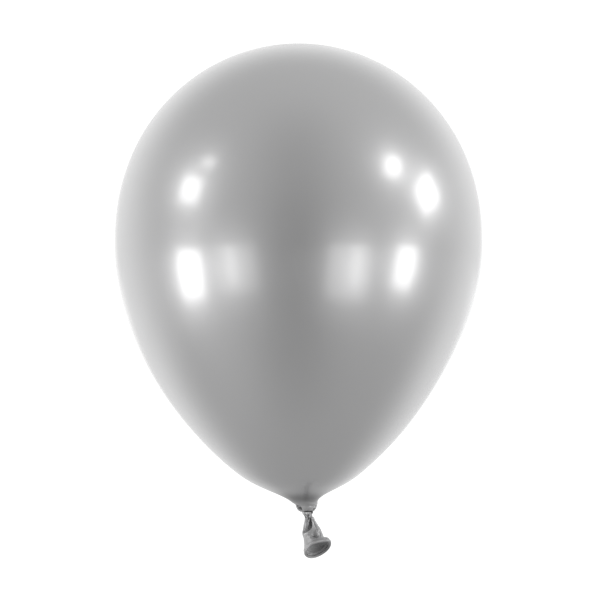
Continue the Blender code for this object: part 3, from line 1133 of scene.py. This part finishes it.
def tail_lining(wall):
    """Points of the tail's inner side, from its mouth inwards, and the painted shade on each, below 0
    where light is painted.
    """
    shares = np.linspace(TAIL_END, LINING_END, LINING_RINGS)
    points = tail_surface(shares, wall)[0]
    # It narrows inwards
    depth = eased(shares, 0.93, 0.6)[:, None]
    middle = points.mean(axis=1, keepdims=True)
    points = points + (middle - points) * (0.05 + 0.25 * depth)[..., None] * depth[..., None]
    # It is wrinkled, most near the mouth's lower left, where light is also painted on it
    angle = round_angles(TAIL_SIDES)
    lit = lobe(angle, 1, 212, 34) * eased(shares, 0.74, 0.88)[:, None]
    fuss = (0.05 + 0.1 * lit) * wrinkles(points, 3.4, 21) * eased(shares, 0.95, 0.85)[:, None]
    reach = points - middle
    points = points - reach / np.linalg.norm(reach, axis=2)[..., None] * np.abs(fuss)[..., None]
    # Painted shade just inside the mouth's lower right, and painted light deeper in
    shaded = lobe(angle, 1, 308, 42) * (1 - 0.85 * depth)
    return points, 0.08 - 0.5 * depth - 0.9 * lit + shaded


class BALLOON_OT_tail(bpy.types.Operator):
    """Make the slack tail below the knot, creased outside and hollow inside"""

    bl_idname = "balloon.tail"
    bl_label = "Tail"

    def execute(self, context):
        shares = np.linspace(TAIL_TOP, TAIL_END, TAIL_RINGS)
        outer, outer_crease = tail_surface(shares, 0)
        inner, inner_crease = tail_lining(context.scene.balloon_tail.wall / MM)
        rings = np.concatenate((outer, inner))
        # Painted shade and painted light on both sides of the tail, for its material
        crease = np.concatenate((outer_crease, inner_crease))
        top = outer[0].mean(axis=0)
        end = inner[-1].mean(axis=0)
        tail = ring_mesh("slack_tail", rings, slack_finish("tail latex"), top, end, crease)
        flip_inward_faces(tail, (30, 0, -20))
        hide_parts("tail")
        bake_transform(tail)
        return {"FINISHED"}


class BALLOON_OT_rim(bpy.types.Operator):
    """Make the rolled rim of the tail's mouth"""

    bl_idname = "balloon.rim"
    bl_label = "Rolled Rim"

    def execute(self, context):
        deep = np.cross(MOUTH_NORMAL, MOUTH_WIDE)
        angle = round_angles(48)
        half_width, half_depth = mouth_ring(angle, 0)
        flat = MOUTH_WIDE * (half_width * np.cos(angle))[:, None]
        points = MOUTH + flat + deep * (half_depth * np.sin(angle))[:, None]
        rim = run_tree(
            strand_tree(),
            "rolled_rim",
            {
                "Half Thickness": context.scene.balloon_tail.rim,
                "Steps": 260,
                "Sides": 32,
                "Material": slack_finish("rolled latex", context.scene.balloon_finish.rolled),
            },
            path_object("rim path", points, rim_share(angle), True),
        )
        spots = np.zeros(len(rim.data.vertices) * 3)
        rim.data.vertices.foreach_get("co", spots)
        spots = spots.reshape(-1, 3) / MM - MOUTH
        across = spots @ MOUTH_WIDE
        up = spots @ deep
        angle = np.arctan2(up / MEAN_DEPTH, across / MOUTH_REACH)
        half_width, half_depth = mouth_ring(angle, 0)
        inside = eased(np.hypot(across / half_width, up / half_depth), 0.98, 0.89)
        # Painted shade and painted light on the rim, from the lobes above
        tones = lobes(angle, RIM_TONES) + inside * lobes(angle, RIM_INNER_TONES)
        layer = rim.data.attributes.new("crease", "FLOAT", "POINT")
        layer.data.foreach_set("value", tones.astype(np.float32))
        link_piece(rim, (40, -12, -30), "tail", "rolled_latex", "mouth_bead")
        return {"FINISHED"}


class BALLOON_OT_studio(bpy.types.Operator):
    """Make the floor, the room's light, the studio lights and the camera"""

    bl_idname = "balloon.studio"
    bl_label = "Studio"

    def execute(self, context):
        studio = context.scene.balloon_studio
        self.make_room(studio)
        self.make_floor(studio)
        for row in LIGHTS:
            self.make_light(*row)
        lens = bpy.data.cameras.new("camera")
        lens.sensor_width = 36
        lens.lens = lens.sensor_width * studio.camera_distance / studio.view_width
        lens.clip_end = 100
        camera = bpy.data.objects.new("camera", lens)
        context.scene.collection.objects.link(camera)
        across, height = VIEW_MIDDLE
        camera.location = (across * MM, -studio.camera_distance, height * MM)
        camera.rotation_euler = (math.pi / 2, 0, 0)
        context.scene.camera = camera
        context.scene.view_settings.view_transform = "Standard"
        return {"FINISHED"}

    def make_light(self, name, around, above, width, height, turn, radiance):
        """A soft light that looks at the balloon and doesn't show itself."""
        light = bpy.data.lights.new(name, "AREA")
        light.shape = "ELLIPSE" if name.endswith("lamp") else "RECTANGLE"
        light.size = width
        light.size_y = height
        light.energy = radiance * math.pi * width * height
        lamp = bpy.data.objects.new(name, light)
        bpy.context.scene.collection.objects.link(lamp)
        azimuth = math.radians(around)
        elevation = math.radians(above)
        level = math.cos(elevation)
        way = Vector((math.sin(azimuth) * level, -math.cos(azimuth) * level, math.sin(elevation)))
        lamp.location = LIGHT_AIM + way * LIGHT_DISTANCE
        lamp.rotation_euler = way.to_track_quat("Z", "Y").to_euler()
        lamp.rotation_euler.rotate_axis("Z", math.radians(turn))
        lamp.visible_camera = False

    def make_room(self, studio):
        """A pale room: dim in front, a lit backdrop behind."""
        world = bpy.data.worlds.new("room")
        bpy.context.scene.world = world
        world.use_nodes = True
        tree = world.node_tree
        place = tree.nodes.new("ShaderNodeTexCoord")
        side, away, up = split(tree, place.outputs["Generated"])
        glow = room_glow(studio, side, away, up=up)
        tree.links.new(glow.socket, tree.nodes["Background"].inputs["Color"])

    def make_floor(self, studio):
        """A wide pale floor far below that glows with painted light, brighter towards the backdrop and
        with painted shade below the balloon.
        """
        mesh = bpy.data.meshes.new("floor")
        turns = ((-1, -1), (1, -1), (1, 1), (-1, 1))
        corners = [(x * FLOOR_REACH, y * FLOOR_REACH, -studio.floor_drop) for x, y in turns]
        mesh.from_pydata(corners, [], [(0, 1, 2, 3)])
        material, tree, shader, place = new_material("pale floor")
        shader.inputs["Roughness"].default_value = 0.9
        tone = (noise_value(tree, place, 3, 2) - 0.5) * 0.04 + 0.42
        paint(tree, (tone, tone, tone), shader.inputs["Base Color"])
        across, away = split(tree, place)[:2]
        fall = studio.floor_drop + 0.15
        far = (across * across + away * away + fall * fall).math("SQRT")
        glow = room_glow(studio, across / far, away / far, fall=(far ** -1) * fall)
        shader.inputs["Emission Color"].default_value = (1, 1, 1, 1)
        glow = (glow * 0.92 - 0.233).math("MAXIMUM", 0)
        tree.links.new(glow.socket, shader.inputs["Emission Strength"])
        mesh.materials.append(material)
        floor = bpy.data.objects.new("floor", mesh)
        bpy.context.scene.collection.objects.link(floor)


class BALLOON_PT_panel(bpy.types.Panel):
    """Lists the balloon's pieces and the studio in the sidebar"""

    bl_idname = "BALLOON_PT_panel"
    bl_label = "Metallic Latex Balloon"
    bl_space_type = "VIEW_3D"
    bl_region_type = "UI"
    bl_category = "Balloon"

    def draw(self, context):
        layout = self.layout
        for group, operator in PANEL_ROWS:
            box = layout.box()
            settings = getattr(context.scene, group)
            for name in settings.__annotations__:
                box.prop(settings, name)
            if operator:
                box.operator(operator)
        layout.operator(BALLOON_OT_rim.bl_idname)


PANEL_ROWS = (
    ("balloon_finish", None),
    ("balloon_skin", BALLOON_OT_skin.bl_idname),
    ("balloon_knot", BALLOON_OT_knot.bl_idname),
    ("balloon_tail", BALLOON_OT_tail.bl_idname),
    ("balloon_studio", BALLOON_OT_studio.bl_idname),
)
SETTINGS = {
    "balloon_finish": FinishSettings,
    "balloon_skin": SkinSettings,
    "balloon_knot": KnotSettings,
    "balloon_tail": TailSettings,
    "balloon_studio": StudioSettings,
}
CLASSES = (
    *SETTINGS.values(),
    BALLOON_OT_skin,
    BALLOON_OT_knot,
    BALLOON_OT_tail,
    BALLOON_OT_rim,
    BALLOON_OT_studio,
    BALLOON_PT_panel,
)


def register():
    for item in CLASSES:
        bpy.utils.register_class(item)
    for name, group in SETTINGS.items():
        setattr(bpy.types.Scene, name, bpy.props.PointerProperty(type=group))


def unregister():
    for name in SETTINGS:
        delattr(bpy.types.Scene, name)
    for item in reversed(CLASSES):
        bpy.utils.unregister_class(item)


def main():
    register()
    bpy.ops.balloon.skin()
    bpy.ops.balloon.knot()
    bpy.ops.balloon.tail()
    bpy.ops.balloon.rim()
    bpy.ops.balloon.studio()


if __name__ == "__main__":
    main()
